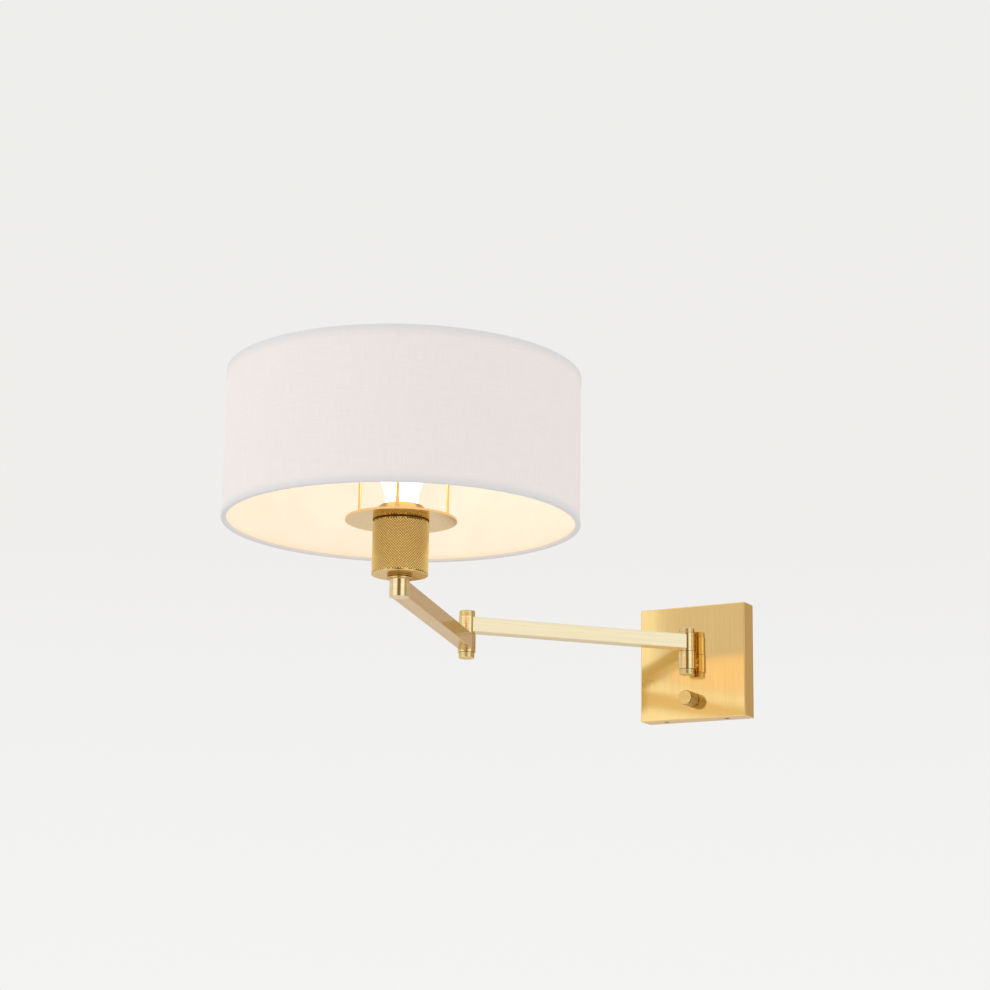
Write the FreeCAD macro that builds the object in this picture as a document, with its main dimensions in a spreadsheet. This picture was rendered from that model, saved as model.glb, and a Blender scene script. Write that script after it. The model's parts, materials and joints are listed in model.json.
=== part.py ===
"""Swing arm wall sconce: a square canopy, two square brass arms on vertical swivels, and a drum shade.

Frame: millimetres, +Z up, +X right, -Y out of the wall. The origin is on the wall plane at the
middle of the canopy. Every size is a cell of the document's sheet, and the pieces are bound to it.
"""
import FreeCAD, Part
import math
import os
import Sketcher

doc = FreeCAD.newDocument("SwingArmSconce")
sheet = doc.addObject("Spreadsheet::Sheet", "Sheet")

# Driving sizes: alias, value in millimetres (or degrees), and what it is.
SIZES = [
    ("canopy_side", 114.3, "side of the square canopy"),
    ("canopy_depth", 21.0, "how far the canopy stands off the wall"),
    ("canopy_wall", 1.6, "sheet thickness of the canopy"),
    ("canopy_edge", 1.0, "outer edge radius of the canopy"),
    ("bracket_wide", 84.0, "width of the wall bracket"),
    ("bracket_sheet", 1.6, "sheet thickness of the bracket"),
    ("bracket_flange", 15.0, "depth of the bracket's turned flanges"),
    ("bracket_play", 0.6, "play between the lower flange and the canopy"),
    ("bracket_hole_spacing", 69.85, "spacing of the two box screws"),
    ("bracket_hole_dia", 4.8, "holes for the box screws"),
    ("bracket_wire_dia", 34.0, "wire opening in the bracket"),
    ("grub_offset", 33.0, "grub screws, left and right of the middle"),
    ("grub_depth", 10.5, "grub screws, distance from the wall"),
    ("grub_dia", 5.0, "grub screw diameter"),
    ("grub_long", 5.2, "grub screw length"),
    ("grub_sink", 0.3, "how far the grub screws sit under the surface"),
    ("grub_socket", 2.5, "hex socket across flats"),
    ("ground_dia", 4.0, "ground screw thread"),
    ("ground_head_dia", 7.0, "ground screw head"),
    ("ground_head_tall", 2.2, "ground screw head height"),
    ("ground_left", 24.0, "ground screw, left of the middle"),
    ("ground_up", 34.0, "ground screw, above the middle"),
    ("hub_offset", 33.2, "wall swivel axis, distance from the wall"),
    ("stem_dia", 10.0, "threaded stem and nipple"),
    ("stem_bore", 6.0, "wire way through the stem and nipple"),
    ("stem_inside", 8.6, "length of stem inside the canopy, past its face"),
    ("stem_tip_gap", 0.4, "gap between the stem's tip and the pivot tube"),
    ("stem_shoulder_dia", 13.0, "shoulder that seats on the canopy"),
    ("stem_shoulder_thick", 1.6, "thickness of that shoulder"),
    ("washer_dia", 16.0, "lock washer"),
    ("washer_thick", 1.0, "lock washer thickness"),
    ("nut_flats", 14.0, "lock nut across flats"),
    ("nut_thick", 4.0, "lock nut thickness"),
    ("lower_barrel_dia", 17.3, "lower barrel of each swivel, and the barrel under the socket"),
    ("lower_barrel_tall", 17.6, "height of a lower barrel"),
    ("upper_barrel_dia", 16.2, "upper barrel of each swivel"),
    ("upper_barrel_tall", 17.2, "height of an upper barrel"),
    ("junction_level", 8.5, "top of the lower barrels"),
    ("pivot_washer_dia", 15.4, "friction washer between the barrels"),
    ("pivot_washer_thick", 0.5, "friction washer thickness"),
    ("pivot_dia", 12.0, "hollow pivot tube"),
    ("pivot_bore", 8.0, "wire way through the pivot tube"),
    ("cap_dia", 15.2, "swivel cap"),
    ("cap_tall", 5.4, "height of a swivel cap"),
    ("cap_socket", 3.4, "depth of thread inside a swivel cap"),
    ("cap_edge", 0.7, "edge radius of a swivel cap"),
    ("turn_gap", 0.06, "radial clearance of a turning fit"),
    ("fixed_gap", 0.03, "radial clearance of a pressed, screwed or brazed fit"),
    ("end_gap", 0.2, "axial running gap under a swivel cap"),
    ("braze_gap", 0.05, "joint gap between an arm and its barrel"),
    ("arm_side", 14.6, "side of the square arm tube"),
    ("arm_wall", 1.2, "wall of the arm tube"),
    ("arm_edge", 0.8, "edge radius of the arm tube"),
    ("arm_wire_dia", 8.0, "wire way from an arm into its barrels"),
    ("rear_arm_reach", 232.0, "wall swivel to elbow, between axes"),
    ("rear_arm_level", 10.8, "underside of the rear arm"),
    ("rear_arm_turn", 228.9, "rest direction of the rear arm, from +X"),
    ("front_arm_reach", 260.0, "elbow to shade axis"),
    ("front_arm_level", -6.2, "underside of the front arm"),
    ("front_arm_turn", 287.3, "rest direction of the front arm, from +X"),
    ("post_tall", 15.5, "height of the barrel under the socket"),
    ("post_floor", 2.0, "closed bottom of that barrel"),
    ("collar_dia", 21.9, "neck collar under the cup"),
    ("collar_tall", 3.6, "height of the neck collar"),
    ("collar_groove", 0.9, "depth and width of the groove round the collar"),
    ("cup_dia", 49.4, "knurled socket cup"),
    ("cup_tall", 47.9, "height of the socket cup"),
    ("cup_wall", 1.3, "wall of the socket cup"),
    ("cup_floor", 1.6, "floor of the socket cup"),
    ("cup_edge", 0.6, "bottom edge chamfer of the socket cup"),
    ("nipple_low", 11.7, "bottom of the nipple above the post's bottom"),
    ("nipple_engage", 4.0, "nipple length inside the lamp holder"),
    ("holder_mouth_gap", 1.4, "room round the bulb neck in the lamp holder's mouth"),
    ("holder_wall", 1.8, "wall of the lamp holder's mouth"),
    ("holder_base", 10.0, "solid base of the lamp holder"),
    ("shell_dia", 26.9, "inside of the screw shell"),
    ("shell_thick", 0.4, "screw shell thickness"),
    ("shell_tall", 27.0, "screw shell height"),
    ("contact_dia", 8.0, "centre contact of the lamp holder"),
    ("contact_tall", 1.4, "height of the centre contact"),
    ("terminal_dia", 3.0, "terminal screws of the lamp holder"),
    ("disc_dia", 97.5, "shade carrier disc"),
    ("disc_thick", 2.0, "thickness of the disc"),
    ("ring_dia", 62.0, "retaining ring on the disc"),
    ("ring_tall", 11.6, "height of the retaining ring"),
    ("ring_wall", 1.4, "wall and web of the retaining ring"),
    ("ring_foot", 1.5, "upright foot of the retaining ring, under its slope"),
    ("ring_land", 0.9, "flat land round the hole at the ring's top"),
    ("rod_dia", 2.5, "shade rods"),
    ("rod_circle", 44.8, "radius of the circle of rods"),
    ("rod_turn", 10.2, "first rod, from the front arm's direction"),
    ("rod_above", 2.5, "rod above the spider ring"),
    ("foot_dia", 4.2, "rod foot at its ball"),
    ("foot_tall", 9.5, "height of a rod foot"),
    ("foot_seat_dia", 3.3, "rod foot below and above its ball"),
    ("foot_lip", 0.24, "wall of a rod foot at its thin end"),
    ("rod_nut_dia", 5.0, "rod nut"),
    ("rod_nut_tall", 2.0, "height of a rod nut"),
    ("spider_wide", 6.0, "width of the spider ring"),
    ("spider_thick", 2.0, "thickness of the spider ring"),
    ("spoke_dia", 2.4, "spider spokes"),
    ("shade_dia", 312.0, "drum shade, outside its hems"),
    ("shade_tall", 133.1, "height of the drum shade"),
    ("shade_level", 57.9, "bottom of the drum shade"),
    ("hem_cloth", 0.5, "thickness of the hem band"),
    ("hem_tall", 8.0, "height of the hem band outside"),
    ("hem_turn", 2.5, "height of the hem where it turns inside"),
    ("hem_rim", 4.7, "width of the rim across the hem"),
    ("shell_gap", 0.1, "clearance round the shade's layers"),
    ("panel_thick", 0.8, "fabric panel"),
    ("liner_thick", 0.4, "liner inside the panel"),
    ("hoop_dia", 2.0, "wire hoops inside the hems"),
    ("bulb_dia", 60.0, "bulb at its widest"),
    ("bulb_neck_dia", 28.6, "bulb neck"),
    ("bulb_top", 152.2, "top of the bulb"),
    ("bulb_blend", 40.0, "radius of the hollow between neck and globe"),
    ("bulb_wall", 1.0, "bulb wall"),
    ("bulb_cap_dia", 26.3, "screw cap of the bulb"),
    ("bulb_cap_tall", 22.5, "height of the screw cap"),
    ("bulb_cap_wall", 0.5, "wall of the screw cap"),
    ("bulb_tip_dia", 9.0, "tip contact of the bulb"),
    ("bulb_tip_tall", 1.8, "height of the tip contact"),
    ("bulb_insulator_tall", 3.5, "insulating cone between the tip and the screw cap"),
    ("bulb_insulator_dia", 20.0, "insulating cone at the screw cap"),
    ("knob_level", -38.0, "knob axis, below the middle"),
    ("knob_dia", 15.3, "dimmer knob"),
    ("knob_long", 18.0, "length of the knob"),
    ("knob_stand", 0.5, "gap between the knob and the canopy"),
    ("knob_edge", 0.5, "front edge chamfer of the knob"),
    ("knob_recess_dia", 13.3, "recess behind the knob"),
    ("knob_recess_deep", 4.6, "depth of that recess"),
    ("shaft_dia", 6.0, "dimmer shaft"),
    ("shaft_in_knob", 10.0, "shaft length inside the knob's bore"),
    ("shaft_in_body", 7.0, "shaft length inside the dimmer"),
    ("dimmer_wide", 26.0, "dimmer body width"),
    ("dimmer_tall", 22.0, "dimmer body height"),
    ("dimmer_deep", 10.0, "dimmer body depth"),
    ("bushing_dia", 9.0, "dimmer bushing"),
    ("bushing_long", 4.2, "bushing length in front of the canopy"),
    ("bushing_nut_flats", 11.0, "bushing nut across flats"),
    ("bushing_nut_thick", 2.2, "bushing nut thickness"),
    ("knob_screw_dia", 3.0, "grub screw of the knob"),
    ("hole_play", 0.2, "radial play of a clearance hole"),
]


class Size:
    """A length that knows its value and the sheet expression that gives it."""

    def __init__(self, value, text):
        self.value = value
        self.text = text

    def __add__(self, other):
        other = size(other)
        return Size(self.value + other.value, "(%s + %s)" % (self.text, other.text))

    def __sub__(self, other):
        other = size(other)
        return Size(self.value - other.value, "(%s - %s)" % (self.text, other.text))

    def __mul__(self, other):
        other = size(other)
        return Size(self.value * other.value, "(%s * %s)" % (self.text, other.text))

    def __truediv__(self, other):
        other = size(other)
        return Size(self.value / other.value, "(%s / %s)" % (self.text, other.text))

    def __neg__(self):
        return Size(-self.value, "(0 - %s)" % self.text)


def size(number):
    """Wraps a plain number, so that it can be used among sizes."""
    if isinstance(number, Size):
        return number
    return Size(float(number), repr(number))


def cosine(angle):
    return Size(math.cos(math.radians(angle.value)), "cos(%s)" % angle.text)


def sine(angle):
    return Size(math.sin(math.radians(angle.value)), "sin(%s)" % angle.text)


def root(number):
    return Size(math.sqrt(number.value), "sqrt(%s)" % number.text)


class Sizes:
    """The sheet's cells as attributes."""


d = Sizes()
for row, (alias, value, words) in enumerate(SIZES, start=1):
    sheet.set("A%d" % row, words)
    sheet.set("B%d" % row, str(value))
    sheet.setAlias("B%d" % row, alias)
    setattr(d, alias, Size(value, "Sheet." + alias))
doc.recompute()

ZERO = size(0)
parts = []


# ---------------------------------------------------------------- drawing and features

def new_body(label):
    body = doc.addObject("PartDesign::Body", label)
    body.Label = label
    parts.append(body)
    return body


def new_sketch(body, role, lift=None):
    """A sketch on one of the body's origin planes, lifted along the plane's normal."""
    sketch = body.newObject("Sketcher::SketchObject", body.Name + "_sketch")
    plane = [item for item in body.Origin.OriginFeatures if item.Role == role][0]
    sketch.AttachmentSupport = [(plane, "")]
    sketch.MapMode = "FlatFace"
    if lift is not None:
        sketch.AttachmentOffset = FreeCAD.Placement(FreeCAD.Vector(0, 0, lift.value), FreeCAD.Rotation())
        sketch.setExpression("AttachmentOffset.Base.z", lift.text)
    return sketch


def pin_point(sketch, edge, end, u, v):
    """Holds one point of the sketch at coordinates that follow the sheet."""
    for kind, place in (("DistanceX", size(u)), ("DistanceY", size(v))):
        index = sketch.addConstraint(Sketcher.Constraint(kind, -1, 1, edge, end, place.value))
        sketch.setExpression("Constraints[%d]" % index, place.text)


def draw_loop(sketch, points, arcs=()):
    """A closed outline. arcs holds (index of the edge, a point that the arc passes, its radius)."""
    first = sketch.GeometryCount
    count = len(points)
    bent = {index: (middle, radius) for index, middle, radius in arcs}
    spots = [FreeCAD.Vector(size(u).value, size(v).value, 0) for u, v in points]
    ends = []
    for index in range(count):
        start, stop = spots[index], spots[(index + 1) % count]
        if index in bent:
            u, v = bent[index][0]
            edge = Part.Arc(start, FreeCAD.Vector(u.value, v.value, 0), stop)
            circle = edge.toShape().Curve
            turned = edge.StartPoint.distanceToPoint(start) > edge.EndPoint.distanceToPoint(start)
            turned = turned or circle.Axis.z < 0
            ends.append((2, 1) if turned else (1, 2))
        else:
            edge = Part.LineSegment(start, stop)
            ends.append((1, 2))
        sketch.addGeometry(edge, False)
    for index in range(count):
        after = (index + 1) % count
        sketch.addConstraint(Sketcher.Constraint(
            "Coincident", first + index, ends[index][1], first + after, ends[after][0]))
    for index, (u, v) in enumerate(points):
        pin_point(sketch, first + index, ends[index][0], u, v)
    for index, (middle, radius) in bent.items():
        made = sketch.addConstraint(Sketcher.Constraint("Radius", first + index, radius.value))
        sketch.setExpression("Constraints[%d]" % made, radius.text)


def draw_circle(sketch, u, v, radius):
    u, v = size(u), size(v)
    edge = sketch.addGeometry(
        Part.Circle(FreeCAD.Vector(u.value, v.value, 0), FreeCAD.Vector(0, 0, 1), radius.value), False)
    made = sketch.addConstraint(Sketcher.Constraint("Radius", edge, radius.value))
    sketch.setExpression("Constraints[%d]" % made, radius.text)
    pin_point(sketch, edge, 3, u, v)


def box_points(left, right, low, high):
    return [(left, low), (right, low), (right, high), (left, high)]


def hexagon(across, u=ZERO, v=ZERO):
    """The corners of a hexagon with the given width across flats."""
    reach = size(across) / math.sqrt(3)
    return [(size(u) + reach * math.cos(math.radians(60 * turn)),
             size(v) + reach * math.sin(math.radians(60 * turn))) for turn in range(6)]


def extrude(body, sketch, kind, length, symmetric=False, reverse=False):
    """A pad or pocket. length is a size, or None for a cut through everything."""
    feature = body.newObject("PartDesign::" + kind, body.Name + "_" + kind)
    feature.Profile = sketch
    if length is None:
        feature.Type = "ThroughAll"
    else:
        feature.Length = length.value
        feature.setExpression("Length", length.text)
    feature.SideType = "Symmetric" if symmetric else "One side"
    feature.Reversed = reverse
    sketch.Visibility = False
    return feature


def pad(body, sketch, length, symmetric=False, reverse=False):
    return extrude(body, sketch, "Pad", length, symmetric, reverse)


def cut(body, sketch, length=None, symmetric=False, reverse=False):
    """A pocket that must take material away."""
    doc.recompute()
    before = body.Shape.Volume
    feature = extrude(body, sketch, "Pocket", length, symmetric, reverse)
    doc.recompute()
    if not body.Shape.Volume < before:
        raise RuntimeError("a cut in %s takes nothing away" % body.Label)
    return feature


def round_edges(body, radius, wanted):
    """Fillets the edges of the body that the test picks."""
    doc.recompute()
    tip = body.Tip
    names = ["Edge%d" % (index + 1) for index, edge in enumerate(tip.Shape.Edges) if wanted(edge)]
    fillet = body.newObject("PartDesign::Fillet", body.Name + "_fillet")
    fillet.Base = (tip, names)
    fillet.Radius = radius.value
    fillet.setExpression("Radius", radius.text)
    return fillet


def place(body, x=ZERO, y=ZERO, z=ZERO, turn=None):
    """Puts a body at a sheet-driven place, turned about +Z."""
    if turn is not None:
        body.Placement = FreeCAD.Placement(FreeCAD.Vector(), FreeCAD.Rotation(FreeCAD.Vector(0, 0, 1), 1))
        body.setExpression("Placement.Rotation.Angle", turn.text)
    for axis, value in (("x", x), ("y", y), ("z", z)):
        body.setExpression("Placement.Base." + axis, size(value).text)


def turned(label, outline, arcs=(), x=ZERO, y=ZERO, turn=None):
    """A piece turned about a vertical axis from its outline of (radius, level) points."""
    body = new_body(label)
    sketch = new_sketch(body, "XZ_Plane")
    draw_loop(sketch, outline, arcs)
    spin = body.newObject("PartDesign::Revolution", label + "_turn")
    spin.Profile = sketch
    spin.ReferenceAxis = (sketch, ["V_Axis"])
    spin.Angle = 360
    sketch.Visibility = False
    place(body, x, y, turn=turn)
    return body


def turned_outward(label, outline, z=ZERO):
    """A piece turned about the line that leaves the wall, from (radius, distance from wall) points."""
    body = new_body(label)
    sketch = new_sketch(body, "XY_Plane")
    draw_loop(sketch, [(radius, -size(out)) for radius, out in outline])
    spin = body.newObject("PartDesign::Revolution", label + "_turn")
    spin.Profile = sketch
    spin.ReferenceAxis = (sketch, ["V_Axis"])
    spin.Angle = 360
    sketch.Visibility = False
    place(body, z=z)
    return body


def tube_outline(inner, outer, low, high):
    return box_points(inner, outer, low, high)


def is_upright(edge):
    """True for a straight edge along Y, out of the wall."""
    line = edge.Vertexes[0].Point - edge.Vertexes[-1].Point
    return abs(line.x) < 1e-6 and abs(line.z) < 1e-6 and abs(line.y) > 1e-6


# ---------------------------------------------------------------- places shared by the pieces

half_side = d.canopy_side / 2
inner_half = half_side - d.canopy_wall
face_inside = d.canopy_depth - d.canopy_wall

hub_y = -d.hub_offset
elbow_x = d.rear_arm_reach * cosine(d.rear_arm_turn)
elbow_y = hub_y + d.rear_arm_reach * sine(d.rear_arm_turn)
shade_x = elbow_x + d.front_arm_reach * cosine(d.front_arm_turn)
shade_y = elbow_y + d.front_arm_reach * sine(d.front_arm_turn)

lower_low = d.junction_level - d.lower_barrel_tall
upper_low = d.junction_level + d.pivot_washer_thick
upper_high = upper_low + d.upper_barrel_tall
pivot_low = lower_low - d.end_gap - d.cap_socket
pivot_high = upper_high + d.end_gap + d.cap_socket
stem_level = d.junction_level - d.lower_barrel_tall / 2
pivot_radius = d.pivot_dia / 2
fixed_bore = pivot_radius + d.fixed_gap
turning_bore = pivot_radius + d.turn_gap
stem_radius = d.stem_dia / 2
stem_hole = stem_radius + d.fixed_gap

post_low = d.front_arm_level
post_high = post_low + d.post_tall
collar_high = post_high + d.collar_tall
cup_low = collar_high
cup_high = cup_low + d.cup_tall
disc_high = cup_high + d.disc_thick
ring_high = disc_high + d.ring_tall

holder_mouth = d.bulb_neck_dia / 2 + d.holder_mouth_gap
holder_radius = holder_mouth + d.holder_wall

shade_high = d.shade_level + d.shade_tall
shade_radius = d.shade_dia / 2


# ---------------------------------------------------------------- canopy and what it holds

def make_canopy():
    body = new_body("canopy_cover")
    sketch = new_sketch(body, "XZ_Plane")
    draw_loop(sketch, box_points(-half_side, half_side, -half_side, half_side))
    pad(body, sketch, d.canopy_depth)
    front = -d.canopy_depth.value
    round_edges(body, d.canopy_edge, lambda edge: is_upright(edge) or all(
        abs(corner.Point.y - front) < 1e-6 for corner in edge.Vertexes))
    sketch = new_sketch(body, "XZ_Plane")
    draw_loop(sketch, box_points(-inner_half, inner_half, -inner_half, inner_half))
    cut(body, sketch, face_inside, reverse=True)
    for level, radius in ((stem_level, stem_radius + d.hole_play),
                          (d.knob_level, d.bushing_dia / 2 + d.hole_play)):
        sketch = new_sketch(body, "XZ_Plane")
        draw_circle(sketch, 0, level, radius)
        cut(body, sketch, None, reverse=True)
    sketch = new_sketch(body, "XY_Plane")
    for side in (-1, 1):
        draw_circle(sketch, d.grub_offset * side, -d.grub_depth, d.grub_dia / 2 + d.hole_play)
    cut(body, sketch, half_side + 1)


def make_bracket():
    """A sheet bracket on the wall whose two turned flanges carry the canopy."""
    body = new_body("mounting_bracket")
    sketch = new_sketch(body, "YZ_Plane")
    low = -inner_half + d.bracket_play
    high = inner_half
    sheet_in = -d.bracket_sheet
    draw_loop(sketch, [
        (0, low), (0, high), (-d.bracket_flange, high), (-d.bracket_flange, high - d.bracket_sheet),
        (sheet_in, high - d.bracket_sheet), (sheet_in, low + d.bracket_sheet),
        (-d.bracket_flange, low + d.bracket_sheet), (-d.bracket_flange, low)])
    pad(body, sketch, d.bracket_wide, symmetric=True)
    sketch = new_sketch(body, "XZ_Plane")
    draw_circle(sketch, 0, 0, d.bracket_wire_dia / 2)
    for side in (-1, 1):
        draw_circle(sketch, d.bracket_hole_spacing / 2 * side, 0, d.bracket_hole_dia / 2)
    draw_circle(sketch, -d.ground_left, d.ground_up, d.ground_dia / 2 + d.fixed_gap)
    cut(body, sketch, d.bracket_sheet + 1, reverse=True)
    sketch = new_sketch(body, "XY_Plane")
    for side in (-1, 1):
        draw_circle(sketch, d.grub_offset * side, -d.grub_depth, d.grub_dia / 2 + d.fixed_gap)
    cut(body, sketch, half_side)


def make_grub_screws():
    """Two socket screws, driven up through the canopy's underside into the bracket."""
    body = new_body("canopy_grub_screws")
    low = -half_side + d.grub_sink
    sketch = new_sketch(body, "XY_Plane", low)
    for side in (-1, 1):
        draw_circle(sketch, d.grub_offset * side, -d.grub_depth, d.grub_dia / 2)
    pad(body, sketch, d.grub_long)
    sketch = new_sketch(body, "XY_Plane", low)
    for side in (-1, 1):
        draw_loop(sketch, hexagon(d.grub_socket, d.grub_offset * side, -d.grub_depth))
    cut(body, sketch, d.grub_long / 2, reverse=True)


def make_ground_screw():
    body = turned_outward("ground_screw", [
        (0, 0), (d.ground_dia / 2, 0), (d.ground_dia / 2, d.bracket_sheet),
        (d.ground_head_dia / 2, d.bracket_sheet),
        (d.ground_head_dia / 2, d.bracket_sheet + d.ground_head_tall),
        (0, d.bracket_sheet + d.ground_head_tall)], d.ground_up)
    body.setExpression("Placement.Base.x", (-d.ground_left).text)


def hex_nut(label, across, hole, out, thick, level):
    """A hexagon nut on a line that leaves the wall."""
    body = new_body(label)
    sketch = new_sketch(body, "XZ_Plane", out)
    draw_loop(sketch, hexagon(across, 0, level))
    draw_circle(sketch, 0, level, hole)
    pad(body, sketch, thick)


def make_stem():
    """The hollow stem that holds the wall swivel on the canopy, with its washer and nut."""
    tip = d.hub_offset - pivot_radius - d.stem_tip_gap
    shoulder = d.canopy_depth + d.stem_shoulder_thick
    back = face_inside - d.stem_inside
    turned_outward("hub_stem", [
        (d.stem_bore / 2, back), (stem_radius, back), (stem_radius, d.canopy_depth),
        (d.stem_shoulder_dia / 2, d.canopy_depth), (d.stem_shoulder_dia / 2, shoulder),
        (stem_radius, shoulder), (stem_radius, tip), (d.stem_bore / 2, tip)], stem_level)
    seat = face_inside - d.washer_thick
    turned_outward("stem_lock_washer", tube_outline(stem_hole, d.washer_dia / 2, seat, face_inside),
                   stem_level)
    hex_nut("stem_lock_nut", d.nut_flats, stem_hole, seat - d.nut_thick, d.nut_thick, stem_level)


def make_dimmer():
    """The rotary dimmer behind the face and its knob in front of it."""
    shaft_radius = d.shaft_dia / 2
    body = new_body("dimmer_body")
    half_wide = d.dimmer_wide / 2
    half_tall = d.dimmer_tall / 2
    sketch = new_sketch(body, "XZ_Plane", face_inside - d.dimmer_deep)
    draw_loop(sketch, box_points(-half_wide, half_wide, d.knob_level - half_tall, d.knob_level + half_tall))
    pad(body, sketch, d.dimmer_deep)
    sketch = new_sketch(body, "XZ_Plane", face_inside)
    draw_circle(sketch, 0, d.knob_level, d.bushing_dia / 2)
    bushing_end = d.canopy_depth + d.bushing_long
    pad(body, sketch, bushing_end - face_inside)
    sketch = new_sketch(body, "XZ_Plane", bushing_end)
    draw_circle(sketch, 0, d.knob_level, shaft_radius + d.turn_gap)
    cut(body, sketch, bushing_end - face_inside + d.shaft_in_body + d.end_gap)
    hex_nut("dimmer_bushing_nut", d.bushing_nut_flats, d.bushing_dia / 2 + d.fixed_gap,
            d.canopy_depth, d.bushing_nut_thick, d.knob_level)
    back = d.canopy_depth + d.knob_stand
    front = back + d.knob_long
    recess = back + d.knob_recess_deep
    bore_end = recess + d.shaft_in_knob + d.end_gap
    knob_radius = d.knob_dia / 2
    turned_outward("dimmer_shaft", [
        (0, face_inside - d.shaft_in_body), (shaft_radius, face_inside - d.shaft_in_body),
        (shaft_radius, recess + d.shaft_in_knob), (0, recess + d.shaft_in_knob)], d.knob_level)
    knob = turned_outward("dimmer_knob", [
        (d.knob_recess_dia / 2, back), (knob_radius, back), (knob_radius, front - d.knob_edge),
        (knob_radius - d.knob_edge, front), (0, front), (0, bore_end),
        (shaft_radius + d.fixed_gap, bore_end), (shaft_radius + d.fixed_gap, recess),
        (d.knob_recess_dia / 2, recess)], d.knob_level)
    screw_out = recess + d.shaft_in_knob / 2
    sketch = new_sketch(knob, "XY_Plane")
    draw_circle(sketch, 0, -screw_out, d.knob_screw_dia / 2 + d.fixed_gap)
    cut(knob, sketch, knob_radius)
    screw_top = shaft_radius + d.fixed_gap
    screw = turned("knob_grub_screw", [
        (0, -knob_radius + d.grub_sink), (d.knob_screw_dia / 2, -knob_radius + d.grub_sink),
        (d.knob_screw_dia / 2, -screw_top), (0, -screw_top)])
    place(screw, 0, -screw_out, d.knob_level)


# ---------------------------------------------------------------- swivels

def swivel_cap(label, seat, direction, x, y):
    """A screwed cap. seat is its open end and direction is 1 above the swivel, -1 below it."""
    rim = d.cap_dia / 2
    socket = seat + d.cap_socket * direction
    top = seat + d.cap_tall * direction
    corner = top - d.cap_edge * direction
    bend = math.cos(math.radians(45))
    middle = (rim - d.cap_edge + d.cap_edge * bend, corner + d.cap_edge * bend * direction)
    turned(label, [
        (fixed_bore, seat), (rim, seat), (rim, corner), (rim - d.cap_edge, top), (0, top),
        (0, socket), (fixed_bore, socket)], [(2, middle, d.cap_edge)], x, y)


def make_swivel(name, x, y):
    """The pivot tube, friction washer and caps that both swivels share."""
    turned(name + "_pivot_tube", tube_outline(d.pivot_bore / 2, pivot_radius, pivot_low, pivot_high),
           x=x, y=y)
    turned(name + "_pivot_washer", tube_outline(
        turning_bore, d.pivot_washer_dia / 2, d.junction_level, upper_low), x=x, y=y)
    swivel_cap(name + "_top_cap", upper_high + d.end_gap, 1, x, y)
    swivel_cap(name + "_bottom_cap", lower_low - d.end_gap, -1, x, y)


def barrel(label, radius, bore, low, high, x, y, turn, wire_level, wire_side):
    """A swivel barrel with a wire way that faces its arm. wire_side is 1 or -1 along the arm."""
    body = turned(label, tube_outline(bore, radius, low, high), x=x, y=y, turn=turn)
    sketch = new_sketch(body, "YZ_Plane")
    draw_circle(sketch, 0, wire_level, d.arm_wire_dia / 2)
    cut(body, sketch, radius + 1, reverse=wire_side > 0)
    return body


def make_wall_hub():
    """The lower barrel that the stem carries."""
    body = turned("wall_hub_barrel", tube_outline(
        fixed_bore, d.lower_barrel_dia / 2, lower_low, d.junction_level), y=hub_y)
    sketch = new_sketch(body, "XZ_Plane")
    draw_circle(sketch, 0, stem_level, stem_hole)
    cut(body, sketch, d.lower_barrel_dia / 2 + 1)


# ---------------------------------------------------------------- arms

def make_arm(label, reach, level, start_radius, end_radius, x, y, turn):
    """A square tube between two barrels, with its ends cut to fit round them."""
    body = new_body(label)
    half = d.arm_side / 2
    sketch = new_sketch(body, "YZ_Plane")
    draw_loop(sketch, box_points(-half, half, level, level + d.arm_side))
    pad(body, sketch, reach)
    round_edges(body, d.arm_edge, lambda edge: abs(
        edge.Vertexes[0].Point.x - edge.Vertexes[-1].Point.x) > 1)
    bore = half - d.arm_wall
    sketch = new_sketch(body, "YZ_Plane")
    draw_loop(sketch, box_points(-bore, bore, level + d.arm_wall, level + d.arm_side - d.arm_wall))
    cut(body, sketch, None, reverse=True)
    sketch = new_sketch(body, "XY_Plane")
    draw_circle(sketch, 0, 0, start_radius + d.braze_gap)
    draw_circle(sketch, reach, 0, end_radius + d.braze_gap)
    cut(body, sketch, half_side * 2, symmetric=True)
    place(body, x, y, turn=turn)


def make_rear_arm():
    upper_radius = d.upper_barrel_dia / 2
    wire_level = d.rear_arm_level + d.arm_side / 2
    make_arm("rear_arm_tube", d.rear_arm_reach, d.rear_arm_level, upper_radius, upper_radius,
             ZERO, hub_y, d.rear_arm_turn)
    barrel("rear_arm_wall_barrel", upper_radius, turning_bore, upper_low, upper_high,
           ZERO, hub_y, d.rear_arm_turn, wire_level, 1)
    barrel("rear_arm_elbow_barrel", upper_radius, fixed_bore, upper_low, upper_high,
           elbow_x, elbow_y, d.rear_arm_turn, wire_level, -1)


def make_front_arm():
    lower_radius = d.lower_barrel_dia / 2
    wire_level = d.front_arm_level + d.arm_side / 2
    make_arm("front_arm_tube", d.front_arm_reach, d.front_arm_level, lower_radius, lower_radius,
             elbow_x, elbow_y, d.front_arm_turn)
    barrel("front_arm_elbow_barrel", lower_radius, turning_bore, lower_low, d.junction_level,
           elbow_x, elbow_y, d.front_arm_turn, wire_level, 1)
    post = turned("front_arm_post", [
        (0, post_low), (lower_radius, post_low), (lower_radius, post_high), (stem_hole, post_high),
        (stem_hole, post_low + d.post_floor), (0, post_low + d.post_floor)],
        x=shade_x, y=shade_y, turn=d.front_arm_turn)
    sketch = new_sketch(post, "YZ_Plane")
    draw_circle(sketch, 0, wire_level, d.arm_wire_dia / 2)
    cut(post, sketch, lower_radius + 1)


# ---------------------------------------------------------------- socket, on the shade's axis

def on_axis(label, outline, arcs=()):
    return turned(label, outline, arcs, shade_x, shade_y)


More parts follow.
